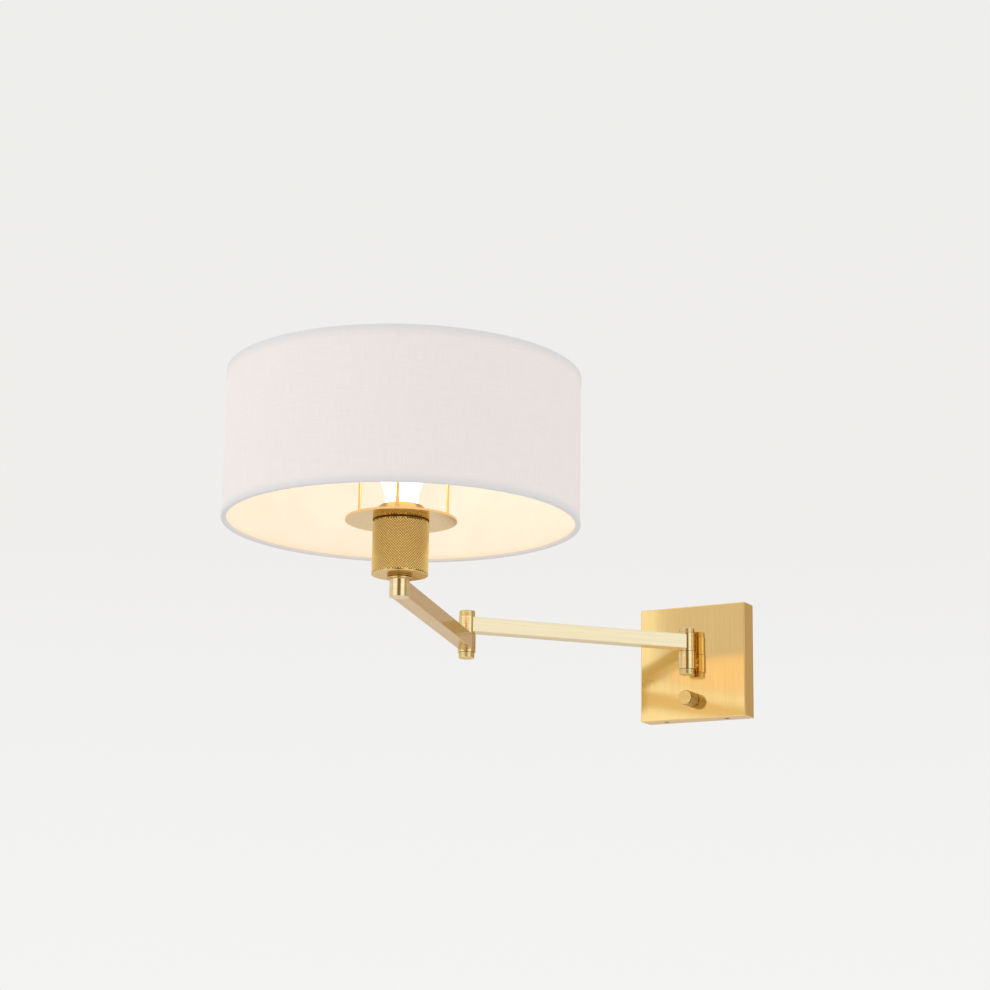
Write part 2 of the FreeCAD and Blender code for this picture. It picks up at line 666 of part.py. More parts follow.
def make_socket():
    collar = d.collar_dia / 2
    groove = collar - d.collar_groove
    waist = post_high + d.collar_tall / 2
    on_axis("neck_collar", [
        (stem_hole, post_high), (collar, post_high), (collar, waist - d.collar_groove / 2),
        (groove, waist - d.collar_groove / 2), (groove, waist + d.collar_groove / 2),
        (collar, waist + d.collar_groove / 2), (collar, collar_high), (stem_hole, collar_high)])
    cup = d.cup_dia / 2
    cup_floor = cup_low + d.cup_floor
    on_axis("socket_cup", [
        (stem_hole, cup_low), (cup - d.cup_edge, cup_low), (cup, cup_low + d.cup_edge), (cup, cup_high),
        (cup - d.cup_wall, cup_high), (cup - d.cup_wall, cup_floor), (stem_hole, cup_floor)])
    nut_high = cup_floor + d.nut_thick
    nut = new_body("socket_lock_nut")
    sketch = new_sketch(nut, "XY_Plane", cup_floor)
    draw_loop(sketch, hexagon(d.nut_flats))
    draw_circle(sketch, 0, 0, stem_hole)
    pad(nut, sketch, d.nut_thick)
    place(nut, shade_x, shade_y)
    on_axis("socket_nipple", tube_outline(
        d.stem_bore / 2, stem_radius, post_low + d.nipple_low, nut_high + d.nipple_engage))
    make_lamp_holder(nut_high)


def make_lamp_holder(low):
    """The porcelain holder with its screw shell, centre contact and terminal screws."""
    shell_in = d.shell_dia / 2
    shell_out = shell_in + d.shell_thick
    well = shell_out + d.shell_gap
    floor = low + d.holder_base
    shell_high = floor + d.shell_tall
    engage = low + d.nipple_engage + d.end_gap
    mouth_high = ring_high - d.ring_wall
    on_axis("lamp_holder", [
        (stem_hole, low), (holder_radius, low), (holder_radius, mouth_high), (holder_mouth, mouth_high),
        (holder_mouth, shell_high + d.end_gap), (well, shell_high + d.end_gap), (well, floor), (0, floor),
        (0, engage), (stem_hole, engage)])
    on_axis("screw_shell", tube_outline(shell_in, shell_out, floor, shell_high))
    contact_high = floor + d.contact_tall
    on_axis("centre_contact", [
        (0, floor), (d.contact_dia / 2, floor), (d.contact_dia / 2, contact_high), (0, contact_high)])
    screws = new_body("terminal_screws")
    middle = low + d.holder_base / 2
    reach = (d.cup_dia / 2 - d.cup_wall - holder_radius) / 2
    for side in (1, -1):
        sketch = new_sketch(screws, "YZ_Plane", holder_radius * side)
        draw_circle(sketch, 0, middle, d.terminal_dia / 2)
        pad(screws, sketch, reach, reverse=side < 0)
    place(screws, shade_x, shade_y)
    make_bulb(contact_high, shell_high)


def make_bulb(tip_low, shell_high):
    tip_high = tip_low + d.bulb_tip_tall
    cap_low = tip_high + d.bulb_insulator_tall
    cap_high = cap_low + d.bulb_cap_tall
    on_axis("bulb_tip_contact", [
        (0, tip_low), (d.bulb_tip_dia / 2, tip_low), (d.bulb_tip_dia / 2, tip_high), (0, tip_high)])
    on_axis("bulb_insulator", [
        (0, tip_high), (d.bulb_tip_dia / 2, tip_high), (d.bulb_insulator_dia / 2, cap_low), (0, cap_low)])
    cap = d.bulb_cap_dia / 2
    on_axis("bulb_screw_cap", [
        (0, cap_low), (cap, cap_low), (cap, cap_high), (cap - d.bulb_cap_wall, cap_high),
        (cap - d.bulb_cap_wall, cap_low + d.bulb_cap_wall), (0, cap_low + d.bulb_cap_wall)])
    globe = d.bulb_dia / 2
    neck = d.bulb_neck_dia / 2
    centre = d.bulb_top - globe
    across = neck + d.bulb_blend
    drop = root((globe + d.bulb_blend) * (globe + d.bulb_blend) - across * across)
    seat = cap - d.bulb_cap_wall

    def outline(inset):
        """Neck, hollow and globe, set in by the wall thickness."""
        ball = globe - inset
        share = ball / (globe + d.bulb_blend)
        hollow_end = centre - drop
        meet = (across * share, centre - drop * share)
        spread = math.degrees(math.atan2(drop.value, across.value))
        hollow_turn = math.radians(180 - spread / 2)
        blend = d.bulb_blend + inset
        hollow_middle = (across + blend * math.cos(hollow_turn),
                         hollow_end + blend * math.sin(hollow_turn))
        globe_turn = math.radians((90 - spread) / 2)
        globe_middle = (ball * math.cos(globe_turn), centre + ball * math.sin(globe_turn))
        return ball, (neck - inset, hollow_end), meet, hollow_middle, globe_middle, blend

    ball, neck_end, meet, hollow, side, blend = outline(ZERO)
    ball_in, neck_end_in, meet_in, hollow_in, side_in, blend_in = outline(d.bulb_wall)
    on_axis("bulb_globe", [
        (seat, cap_high), (neck, cap_high), neck_end, meet, (0, centre + ball),
        (0, centre + ball_in), meet_in, neck_end_in, (neck - d.bulb_wall, cap_high + d.bulb_wall),
        (seat, cap_high + d.bulb_wall)],
        [(2, hollow, blend), (3, side, ball), (5, side_in, ball_in), (6, hollow_in, blend_in)])


# ---------------------------------------------------------------- shade carrier and shade

def make_carrier():
    """The disc, its retaining ring and the three rods that carry the shade."""
    holder_hole = holder_radius + d.shell_gap
    on_axis("shade_disc", tube_outline(holder_hole, d.disc_dia / 2, cup_high, disc_high))
    ring = d.ring_dia / 2
    shoulder = disc_high + d.ring_foot
    on_axis("retaining_ring", [
        (ring - d.ring_wall, disc_high), (ring, disc_high), (ring, shoulder),
        (holder_hole + d.ring_land, ring_high), (holder_hole, ring_high),
        (holder_hole, ring_high - d.ring_wall), (ring - d.ring_wall, shoulder)])


def rod_places():
    """The three rods' positions round the shade's axis, with their directions."""
    for index in range(3):
        turn = d.front_arm_turn + d.rod_turn + 120 * index
        yield index + 1, turn, shade_x + d.rod_circle * cosine(turn), shade_y + d.rod_circle * sine(turn)


spoke_level = shade_high - d.hem_cloth - d.shell_gap - d.hoop_dia - d.shell_gap - d.spoke_dia / 2
spider_low = spoke_level - d.spider_thick / 2
spider_high = spoke_level + d.spider_thick / 2


def make_rods():
    """Each rod stands in a turned foot on the disc and is held by a nut on the spider ring."""
    radius = d.rod_dia / 2
    hole = radius + d.fixed_gap
    ball = d.foot_dia / 2
    seat = d.foot_seat_dia / 2
    foot_high = disc_high + d.foot_tall
    nut_high = spider_high + d.rod_nut_tall
    for number, _, x, y in rod_places():
        rod_top = spider_high + d.rod_above
        turned("shade_rod_%d" % number, [
            (0, disc_high), (radius, disc_high), (radius, rod_top), (0, rod_top)], x=x, y=y)
        shoulder = disc_high + d.foot_dia
        turned("rod_foot_%d" % number, [
            (hole, disc_high), (seat, disc_high), (ball, disc_high + ball),
            (seat, shoulder), (hole + d.foot_lip, foot_high), (hole, foot_high)], x=x, y=y)
        turned("rod_nut_%d" % number, tube_outline(
            hole, d.rod_nut_dia / 2, spider_high, nut_high), x=x, y=y)


def make_spider():
    """The ring on the rods and the spokes that reach the top hoop."""
    half = d.spider_wide / 2
    ring = on_axis("spider_ring", tube_outline(
        d.rod_circle - half, d.rod_circle + half, spider_low, spider_high))
    sketch = new_sketch(ring, "XY_Plane")
    for _, _, x, y in rod_places():
        draw_circle(sketch, x - shade_x, y - shade_y, d.rod_dia / 2 + d.fixed_gap)
    cut(ring, sketch, None, reverse=True)
    inner = d.rod_circle + half + d.fixed_gap
    outer = shade_radius - d.hem_cloth - d.shell_gap * 2 - d.panel_thick - d.liner_thick - d.hoop_dia / 2
    for number, turn, _, _ in rod_places():
        spoke = new_body("spider_spoke_%d" % number)
        sketch = new_sketch(spoke, "YZ_Plane", inner)
        draw_circle(sketch, 0, spoke_level, d.spoke_dia / 2)
        pad(spoke, sketch, outer - inner)
        place(spoke, shade_x, shade_y, turn=turn)


def make_hem(name, rim, direction):
    """A cloth band folded over a wire hoop. rim is the shade's edge, direction points into it."""
    inside = shade_radius - d.hem_rim
    fold = rim + d.hem_cloth * direction
    on_axis("shade_%s_hem" % name, [
        (inside, rim), (shade_radius, rim), (shade_radius, rim + d.hem_tall * direction),
        (shade_radius - d.hem_cloth, rim + d.hem_tall * direction),
        (shade_radius - d.hem_cloth, fold), (inside + d.hem_cloth, fold),
        (inside + d.hem_cloth, rim + d.hem_turn * direction), (inside, rim + d.hem_turn * direction)])
    wire = d.hoop_dia / 2
    middle = shade_radius - d.hem_rim + d.hem_cloth + d.shell_gap + wire
    level = fold + (wire + d.shell_gap) * direction
    hoop = new_body("shade_%s_hoop" % name)
    sketch = new_sketch(hoop, "XZ_Plane")
    draw_circle(sketch, middle, level, wire)
    spin = hoop.newObject("PartDesign::Revolution", hoop.Label + "_turn")
    spin.Profile = sketch
    spin.ReferenceAxis = (sketch, ["V_Axis"])
    spin.Angle = 360
    place(hoop, shade_x, shade_y)


def make_shade():
    panel_out = shade_radius - d.hem_cloth - d.shell_gap
    panel_in = panel_out - d.panel_thick
    liner_out = panel_in - d.shell_gap
    low = d.shade_level + d.hem_cloth + d.shell_gap
    high = shade_high - d.hem_cloth - d.shell_gap
    on_axis("shade_fabric", tube_outline(panel_in, panel_out, low, high))
    on_axis("shade_liner", tube_outline(liner_out - d.liner_thick, liner_out, low, high))
    make_hem("bottom", d.shade_level, 1)
    make_hem("top", shade_high, -1)


# ---------------------------------------------------------------- build, check, export

make_canopy()
make_bracket()
make_grub_screws()
make_ground_screw()
make_stem()
make_dimmer()
make_wall_hub()
make_swivel("wall", ZERO, hub_y)
make_rear_arm()
make_swivel("elbow", elbow_x, elbow_y)
make_front_arm()
make_socket()
make_carrier()
make_rods()
make_spider()
make_shade()
doc.recompute()

for item in doc.Objects:
    if "Invalid" in item.State or "Error" in item.State:
        raise RuntimeError("%s failed: %s" % (item.Label, item.State))
for part in parts:
    if part.Shape.isNull() or not part.Shape.isValid() or not part.Shape.Solids:
        raise RuntimeError("%s has no valid solid" % part.Label)

os.makedirs("parts", exist_ok=True)
for part in parts:
    part.Shape.exportStep("parts/%s.step" % part.Label)
    print(part.Label, len(part.Shape.Solids), round(part.Shape.Volume, 2))
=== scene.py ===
import json
import math

import bmesh
import bpy
from mathutils import Matrix, Vector


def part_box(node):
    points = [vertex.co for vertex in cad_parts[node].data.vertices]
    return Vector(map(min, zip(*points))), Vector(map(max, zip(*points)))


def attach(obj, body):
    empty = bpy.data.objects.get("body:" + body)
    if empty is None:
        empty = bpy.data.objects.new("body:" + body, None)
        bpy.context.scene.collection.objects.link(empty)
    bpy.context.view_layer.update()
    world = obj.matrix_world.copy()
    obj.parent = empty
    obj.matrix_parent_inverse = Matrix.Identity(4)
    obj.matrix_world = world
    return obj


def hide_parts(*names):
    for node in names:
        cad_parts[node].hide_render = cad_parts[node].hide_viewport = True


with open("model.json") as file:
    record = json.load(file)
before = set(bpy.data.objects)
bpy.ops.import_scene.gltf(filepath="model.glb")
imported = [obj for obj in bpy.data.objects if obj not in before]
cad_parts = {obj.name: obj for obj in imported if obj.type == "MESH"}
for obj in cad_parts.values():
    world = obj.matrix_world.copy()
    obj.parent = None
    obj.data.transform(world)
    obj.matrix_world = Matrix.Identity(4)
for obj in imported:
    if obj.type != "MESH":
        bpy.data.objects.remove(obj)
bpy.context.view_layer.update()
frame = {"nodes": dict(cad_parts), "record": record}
NODES = frame["nodes"]
MM = 0.001


# ---------------------------------------------------------------- camera

# Where the viewer's eye is, in metres, and how it looks from there, in degrees.
EYE = (0.9923, -2.1591, -0.4065)
EYE_TURN = 29.767
EYE_RISE = 13.776
EYE_ROLL = 0.892
FOCAL_LENGTH_MM = 86.3
SENSOR_WIDTH_MM = 36.0
FARTHEST_SEEN = 50.0


def place_camera():
    """A long lens, low and to the right of the plate, that looks up under the shade."""
    lens = bpy.data.cameras.new("viewpoint")
    lens.lens = FOCAL_LENGTH_MM
    lens.sensor_width = SENSOR_WIDTH_MM
    lens.clip_end = FARTHEST_SEEN
    seat = bpy.data.objects.new("viewpoint", lens)
    turned = Matrix.Rotation(math.radians(EYE_TURN), 4, "Z")
    raised = Matrix.Rotation(math.radians(90 + EYE_RISE), 4, "X")
    rolled = Matrix.Rotation(math.radians(EYE_ROLL), 4, "Z")
    seat.matrix_world = Matrix.Translation(EYE) @ turned @ raised @ rolled
    bpy.context.scene.collection.objects.link(seat)
    bpy.context.scene.camera = seat


place_camera()
bpy.context.scene.view_settings.view_transform = "Standard"


# ---------------------------------------------------------------- measures from the frame

def middle(node):
    """The centre of a CAD node's box."""
    low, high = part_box(node)
    return (low + high) / 2


WALL_AXIS = middle("wall_hub_barrel").xy
ELBOW_AXIS = middle("front_arm_elbow_barrel").xy
SHADE_AXIS = middle("socket_cup").xy
REAR_RUN = ELBOW_AXIS - WALL_AXIS
FRONT_RUN = SHADE_AXIS - ELBOW_AXIS
REAR_TURN = math.atan2(REAR_RUN.y, REAR_RUN.x)
FRONT_TURN = math.atan2(FRONT_RUN.y, FRONT_RUN.x)


# ---------------------------------------------------------------- materials

# The Mix node's sockets when it mixes colours.
MIX_SHARE, MIX_A, MIX_B, MIX_RESULT = 0, 6, 7, 2


def srgb(code):
    """An sRGB hex colour as linear values with alpha."""
    parts = [int(code[at:at + 2], 16) / 255 for at in (1, 3, 5)]
    return [c / 12.92 if c <= 0.04045 else ((c + 0.055) / 1.055) ** 2.4 for c in parts] + [1.0]


def add(tree, kind, settings=None, values=None, links=None, stops=(), feeds=None):
    """Adds a node: its settings, its inputs' values and sources, its colour stops, the socket it feeds."""
    made = tree.nodes.new(kind)
    for name, value in (settings or {}).items():
        setattr(made, name, value)
    for name, value in (values or {}).items():
        made.inputs[name].default_value = value
    for name, source in (links or {}).items():
        tree.links.new(source, made.inputs[name])
    for where, _ in stops[1:-1]:
        made.color_ramp.elements.new(where)
    for number, (where, shade) in enumerate(stops):
        stop = made.color_ramp.elements[number]
        stop.position = where
        stop.color = srgb(shade) if isinstance(shade, str) else (shade, shade, shade, 1)
    if feeds is not None:
        tree.links.new(made.outputs[0], feeds)
    return made


def finish(name, colour, **values):
    """A material with one Principled shader. Underscores stand for the spaces in its inputs' names."""
    made = bpy.data.materials.new(name)
    made.use_nodes = True
    tree = made.node_tree
    tree.nodes.clear()
    shader = add(tree, "ShaderNodeBsdfPrincipled", values={"Base Color": srgb(colour)})
    for words, value in values.items():
        shader.inputs[words.replace("_", " ")].default_value = value
    add(tree, "ShaderNodeOutputMaterial", links={"Surface": shader.outputs[0]})
    return made, tree, shader


# The colour that lacquered brass keeps where it is seen at a flat angle.
EDGE_GOLD = srgb("#F3E9DA")
# The lacquer itself is slightly soft, so it blurs what it mirrors.
LACQUER_ROUGHNESS = 0.12
# The noise levels that are drawn as a pattern's first and second tone.
LOW, HIGH = 0.35, 0.65
# Brushed and turned lines: how wide, how long and how deep they are.
LINE_WIDTH, LINE_RUN, LINE_CUT = 0.6 * MM, 60 * MM, 0.008 * MM
# How much rougher and smoother the lines are than the metal as a whole.
ROUGHER, SMOOTHER = 1.25, 0.8


def brass(name, deep, pale, rough, along=None, centre=None, coat=0.3):
    """Brass that was brushed along a direction, or turned about an upright axis, then lacquered."""
    made, tree, shader = finish(name, pale, Metallic=1.0, Specular_Tint=EDGE_GOLD, Coat_Weight=coat,
                                Coat_Roughness=LACQUER_ROUGHNESS)
    place = add(tree, "ShaderNodeTexCoord").outputs["Object"]
    if centre is not None:
        moved = add(tree, "ShaderNodeMapping", values={"Location": (-centre[0], -centre[1], 0)},
                    links={"Vector": place})
        split = add(tree, "ShaderNodeSeparateXYZ", links={"Vector": moved.outputs["Vector"]})
        flat = add(tree, "ShaderNodeCombineXYZ", links={"X": split.outputs["X"], "Y": split.outputs["Y"]})
        reach = add(tree, "ShaderNodeVectorMath", {"operation": "LENGTH"}, links={0: flat.outputs[0]})
        place = add(tree, "ShaderNodeCombineXYZ",
                    links={"Y": reach.outputs["Value"], "Z": split.outputs["Z"]}).outputs[0]
    else:
        place = add(tree, "ShaderNodeMapping", {"vector_type": "TEXTURE"}, {"Rotation": along},
                    {"Vector": place}).outputs["Vector"]
    drawn = add(tree, "ShaderNodeMapping",
                values={"Scale": (1 / LINE_RUN, 1 / LINE_WIDTH, 1 / LINE_WIDTH)}, links={"Vector": place})
    lines = add(tree, "ShaderNodeTexNoise", values={"Scale": 1.0, "Detail": 3.0, "Roughness": 0.6},
                links={"Vector": drawn.outputs["Vector"]}).outputs["Fac"]
    add(tree, "ShaderNodeValToRGB", links={"Fac": lines}, stops=((LOW, deep), (HIGH, pale)),
        feeds=shader.inputs["Base Color"])
    add(tree, "ShaderNodeValToRGB", links={"Fac": lines},
        stops=((LOW, rough * ROUGHER), (HIGH, rough * SMOOTHER)), feeds=shader.inputs["Roughness"])
    add(tree, "ShaderNodeBump", values={"Distance": LINE_CUT}, links={"Height": lines},
        feeds=shader.inputs["Normal"])
    return made


# The turn that stands the lines upright.
UPRIGHT = (0, math.radians(90), 0)

# Deep gold sheet, brushed upright and lacquered: mirrors what is near, with fine upright lines.
BRUSHED_BRASS = brass("brushed_brass", "#F0D08A", "#F8DB98", 0.1, along=UPRIGHT, coat=0.15)
# Drawn square tube, brushed along its length: pale, with a soft sheen.
REAR_BRASS = brass("satin_brass_rear_tube", "#E6D9B4", "#ECDFBC", 0.2, along=(0, 0, REAR_TURN))
# The front tube's copy is a little deeper than the rear tube's: painted shade.
FRONT_BRASS = brass("satin_brass_front_tube", "#DDC69C", "#E6CFA6", 0.14, along=(0, 0, FRONT_TURN), coat=0.1)
# Lathe-turned parts: rings round the axis and bright upright glints.
WALL_BRASS = brass("satin_brass_wall_swivel", "#EAD3A0", "#F3DFB2", 0.12, centre=WALL_AXIS)
ELBOW_BRASS = brass("satin_brass_elbow", "#E9D29C", "#F2DFB0", 0.14, centre=ELBOW_AXIS)
POST_BRASS = brass("satin_brass_post", "#ECD9AE", "#F5E6C2", 0.12, centre=SHADE_AXIS)
# The carrier disc: the same brass, faced flat, a little deeper: painted shade.
DISC_BRASS = brass("faced_brass_disc", "#E5CB94", "#EED6A2", 0.12, centre=SHADE_AXIS)
# Faced end caps: a duller, evener satin than the barrels they close.
WALL_CAP_BRASS = brass("faced_brass_wall_caps", "#DECA96", "#EAD8A4", 0.3, centre=WALL_AXIS, coat=0.1)
ELBOW_CAP_BRASS = brass("faced_brass_elbow_caps", "#DECA90", "#EAD89E", 0.3, centre=ELBOW_AXIS, coat=0.1)
# The retaining ring on the disc: deep warm gold, darker than the other brass so that the bulb just above
# doesn't bleach it: painted shade.
RING_BRASS = brass("turned_brass_ring", "#AE8344", "#BC914E", 0.3, centre=SHADE_AXIS, coat=0.1)
# The pivot tubes inside the swivels, dark brown: painted shade where they show in the running gaps.
GAP_SHADE_BRASS = brass("gap_shaded_brass_pivot", "#4A3A1C", "#5C4A26", 0.4, along=UPRIGHT, coat=0.0)
# Drawn and polished rod: bright and smooth.
ROD_BRASS = brass("polished_brass", "#E9C375", "#F0CF88", 0.12, along=UPRIGHT)


def knurled_brass(name, groove, low_flank, high_flank, crest):
    """Rolled diamond knurling: painted highlights on the crests, gold flanks and painted shade in the
    grooves.
    """
    made, tree, shader = finish(name, "#E3BC6C", Metallic=1.0, Specular_Tint=EDGE_GOLD, Coat_Weight=0.2,
                                Coat_Roughness=LACQUER_ROUGHNESS)
    smudge = 3 * MM
    place = add(tree, "ShaderNodeTexCoord").outputs["Object"]
    cloud = add(tree, "ShaderNodeTexNoise", values={"Scale": 1 / smudge, "Detail": 3.0},
                links={"Vector": place})
    relief = add(tree, "ShaderNodeAttribute", {"attribute_name": "relief"})
    level = add(tree, "ShaderNodeMapRange", values={"From Min": -1}, links={"Value": relief.outputs["Fac"]})
    add(tree, "ShaderNodeValToRGB", links={"Fac": level.outputs["Result"]}, stops=(
        (0.0, groove), (0.14, low_flank), (0.3, high_flank), (0.5, "#E6C784"), (1.0, crest)),
        feeds=shader.inputs["Base Color"])
    add(tree, "ShaderNodeValToRGB", links={"Fac": cloud.outputs["Fac"]}, stops=((LOW, 0.2), (HIGH, 0.3)),
        feeds=shader.inputs["Roughness"])
    add(tree, "ShaderNodeBump", values={"Distance": LINE_CUT}, links={"Height": cloud.outputs["Fac"]},
        feeds=shader.inputs["Normal"])
    return made


# The cup's side: near-white painted highlights on the crests over gold flanks, and dark painted shade in the
# grooves.
KNURL_BRASS = knurled_brass("knurled_brass", "#4E380C", "#B48C38", "#F6D274", "#FFFBD0")
# The knob's copy is darker all over: deeper painted shade in its grooves and duller painted highlights on its
# crests.
KNOB_BRASS = knurled_brass("knurled_brass_knob", "#33240A", "#7A5A22", "#A67E38", "#F2D38C")


def grooved_brass(name, node):
    """The turned neck collar, banded by height: painted highlights on the rounded lands, and painted shade in
    the groove and corners.
    """
    made, tree, shader = finish(name, "#E3BC6C", Metallic=1.0, Roughness=0.16)
    low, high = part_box(node)
    place = add(tree, "ShaderNodeTexCoord").outputs["Object"]
    level = add(tree, "ShaderNodeSeparateXYZ", links={"Vector": place})
    share = add(tree, "ShaderNodeMapRange", values={"From Min": low.z, "From Max": high.z},
                links={"Value": level.outputs["Z"]})
    add(tree, "ShaderNodeValToRGB", links={"Fac": share.outputs["Result"]}, stops=(
        (0.0, "#B4904E"), (0.1, "#EFD28C"), (0.34, "#FFEDB8"), (0.42, "#4A3410"), (0.58, "#4A3410"),
        (0.7, "#DDB870"), (1.0, "#8A6A34")), feeds=shader.inputs["Base Color"])
    return made


# The collar: bright bands of painted highlight with one dark line of painted shade between them.
COLLAR_BRASS = grooved_brass("grooved_brass_collar", "neck_collar")


def plain(name, colour, second, grain, cut, **values):
    """A cast, plated, moulded or painted surface: a slight mottle of two tones and a fine grain."""
    made, tree, shader = finish(name, colour, **values)
    place = add(tree, "ShaderNodeTexCoord").outputs["Object"]
    mottle = add(tree, "ShaderNodeTexNoise", values={"Scale": 1 / grain, "Detail": 4.0},
                 links={"Vector": place})
    add(tree, "ShaderNodeValToRGB", links={"Fac": mottle.outputs["Fac"]},
        stops=((LOW, colour), (HIGH, second)), feeds=shader.inputs["Base Color"])
    add(tree, "ShaderNodeBump", values={"Distance": cut}, links={"Height": mottle.outputs["Fac"]},
        feeds=shader.inputs["Normal"])
    return made


# Bright zinc plating on the bracket, screws, nuts and washers: cool grey and half matt.
ZINC = plain("zinc_plated_steel", "#A9ABAD", "#BEC1C4", 2 * MM, 0.02 * MM, Metallic=1.0, Roughness=0.4)
# Blackened hardened steel: grub screws.
BLACK_STEEL = plain("blackened_steel", "#3A3835", "#4A4743", 1 * MM, 0.02 * MM, Metallic=1.0, Roughness=0.45)
# The ground screw's green paint.
GREEN_SCREW = plain("green_painted_screw", "#2F7A45", "#3A8A50", 1 * MM, 0.02 * MM, Roughness=0.4)
# Dark pressed fibre: the thin washers that show as dark lines in the swivels.
FIBRE = plain("dark_fibre_washer", "#2A2622", "#38322C", 0.5 * MM, 0.05 * MM, Roughness=0.8)
# Black moulded body of the dimmer.
PHENOLIC = plain("black_phenolic", "#1D1D1E", "#262627", 1 * MM, 0.02 * MM, Roughness=0.45)
# White glazed porcelain: the lamp holder.
PORCELAIN = plain("glazed_porcelain", "#EFEDE6", "#F5F3ED", 4 * MM, 0.01 * MM, Roughness=0.15,
                  Coat_Weight=0.5)
# Pale nickelled brass: screw shells and contacts.
SHELL = plain("nickelled_brass", "#C9C2B0", "#D8D2C2", 1 * MM, 0.01 * MM, Metallic=1.0, Roughness=0.3)
# White enamel on the hoops inside the hems.
WHITE_WIRE = plain("white_enamelled_wire", "#E9E7E3", "#F2F0EC", 2 * MM, 0.01 * MM, Roughness=0.4)
# Opal glass, lit: pure white.
OPAL = plain("opal_glass", "#FFFDF8", "#FFF9EE", 8 * MM, 0.005 * MM, Roughness=0.2,
             Emission_Color=srgb("#FFF1DE"), Emission_Strength=1.9)

SHADE_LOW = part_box("shade_bottom_hem")[0].z
SHADE_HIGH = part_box("shade_top_hem")[1].z


def near_rim(tree, reach):
    """0 over the middle of the shade, rising to 1 at both rims over the last reach metres: the mask of the
    painted shade at the rims.
    """
    half = (SHADE_HIGH - SHADE_LOW) / 2
    place = add(tree, "ShaderNodeTexCoord").outputs["Object"]
    level = add(tree, "ShaderNodeSeparateXYZ", links={"Vector": place})
    centred = add(tree, "ShaderNodeMath", {"operation": "SUBTRACT"}, {1: SHADE_LOW + half},
                  {0: level.outputs["Z"]})
    off = add(tree, "ShaderNodeMath", {"operation": "ABSOLUTE"}, links={0: centred.outputs[0]})
    made = add(tree, "ShaderNodeMapRange", {"interpolation_type": "SMOOTHSTEP"},
               {"From Min": half - reach, "From Max": half}, {"Value": off.outputs[0]})
    return made.outputs["Result"]


def styrene(name):
    """Cream styrene laminated inside the cloth: smooth, with a painted warm glow for the bulb's light on it,
    and a little deeper at the rims: painted shade.
    """
    made, tree, shader = finish(name, "#F6EADB", Emission_Color=srgb("#FFDEC4"), Emission_Strength=0.22)
    cloud, rim_width = 40 * MM, 10 * MM
    place = add(tree, "ShaderNodeTexCoord").outputs["Object"]
    mottle = add(tree, "ShaderNodeTexNoise", values={"Scale": 1 / cloud, "Detail": 3.0},
                 links={"Vector": place})
    tone = add(tree, "ShaderNodeValToRGB", links={"Fac": mottle.outputs["Fac"]},
               stops=((LOW, "#EFE4D6"), (HIGH, "#F4EADD")))
    mixed = add(tree, "ShaderNodeMix", {"data_type": "RGBA"}, {MIX_B: srgb("#F1E0C4")},
                {MIX_SHARE: near_rim(tree, rim_width), MIX_A: tone.outputs["Color"]})
    tree.links.new(mixed.outputs[MIX_RESULT], shader.inputs["Base Color"])
    add(tree, "ShaderNodeValToRGB", links={"Fac": mottle.outputs["Fac"]}, stops=((LOW, 0.46), (HIGH, 0.56)),
        feeds=shader.inputs["Roughness"])
    return made


# The lining: an even warm cream glow, painted light that stands in for the bulb's light on it.
LINER = styrene("cream_styrene_lining")


def woven(name, thread, gap, pitch, lift):
    """Plain-weave cloth. The piece's own UV map, in metres, lays the threads and their slubs."""
    made, tree, shader = finish(name, thread, Roughness=0.9, Sheen_Weight=0.15, Sheen_Roughness=0.5)
    slub_width, slub_length, rim_width = 0.8 * MM, 22 * MM, 9 * MM
    across, along = 1 / slub_width, 1 / slub_length
    # A Wave node at scale 1 has its bands tau / 20 apart.
    bands = math.tau / (20 * pitch)
    place = add(tree, "ShaderNodeUVMap").outputs["UV"]
    heights = []
    for direction, stretch in (("X", (across, along, 1)), ("Y", (along, across, 1))):
        wave = add(tree, "ShaderNodeTexWave", {"bands_direction": direction},
                   {"Scale": bands, "Distortion": 0.4, "Detail": 1.0}, {"Vector": place})
        drawn = add(tree, "ShaderNodeMapping", values={"Scale": stretch}, links={"Vector": place})
        slub = add(tree, "ShaderNodeTexNoise", values={"Scale": 1.0, "Detail": 2.0},
                   links={"Vector": drawn.outputs["Vector"]})
        heights.append(add(tree, "ShaderNodeMath", {"operation": "MULTIPLY_ADD"}, {1: 0.35},
                           {0: wave.outputs["Fac"], 2: slub.outputs["Fac"]}).outputs[0])
    height = add(tree, "ShaderNodeMath", {"operation": "ADD"}, links={0: heights[0], 1: heights[1]})
    half = add(tree, "ShaderNodeMath", {"operation": "MULTIPLY"}, {1: 0.5}, {0: height.outputs[0]}).outputs[0]
    tone = add(tree, "ShaderNodeValToRGB", links={"Fac": half}, stops=((0.35, gap), (0.95, thread)))
    # Grey-blue towards both rims: painted shade.
    mixed = add(tree, "ShaderNodeMix", {"data_type": "RGBA"}, {MIX_B: srgb("#DFE1E4")},
                {MIX_SHARE: near_rim(tree, rim_width), MIX_A: tone.outputs["Color"]})
    tree.links.new(mixed.outputs[MIX_RESULT], shader.inputs["Base Color"])
    add(tree, "ShaderNodeBump", values={"Distance": lift}, links={"Height": half},
        feeds=shader.inputs["Normal"])
    return made


# The real threads lie 0.4 mm apart, which is too fine to show, so they are drawn 0.9 mm apart.
THREAD_PITCH = 0.9 * MM
THREAD_LIFT = 0.05 * MM
# White linen: matt, with a faint weave, turning grey-blue towards both rims as painted shade of the rolled
# edges. The binding is cut from the same cloth.
FABRIC = woven("white_linen_shade_cloth", "#F6F2F2", "#EBE6E6", THREAD_PITCH, THREAD_LIFT)
HEM_FABRIC = woven("white_linen_binding", "#F5F1F1", "#EBE6E6", THREAD_PITCH, THREAD_LIFT)

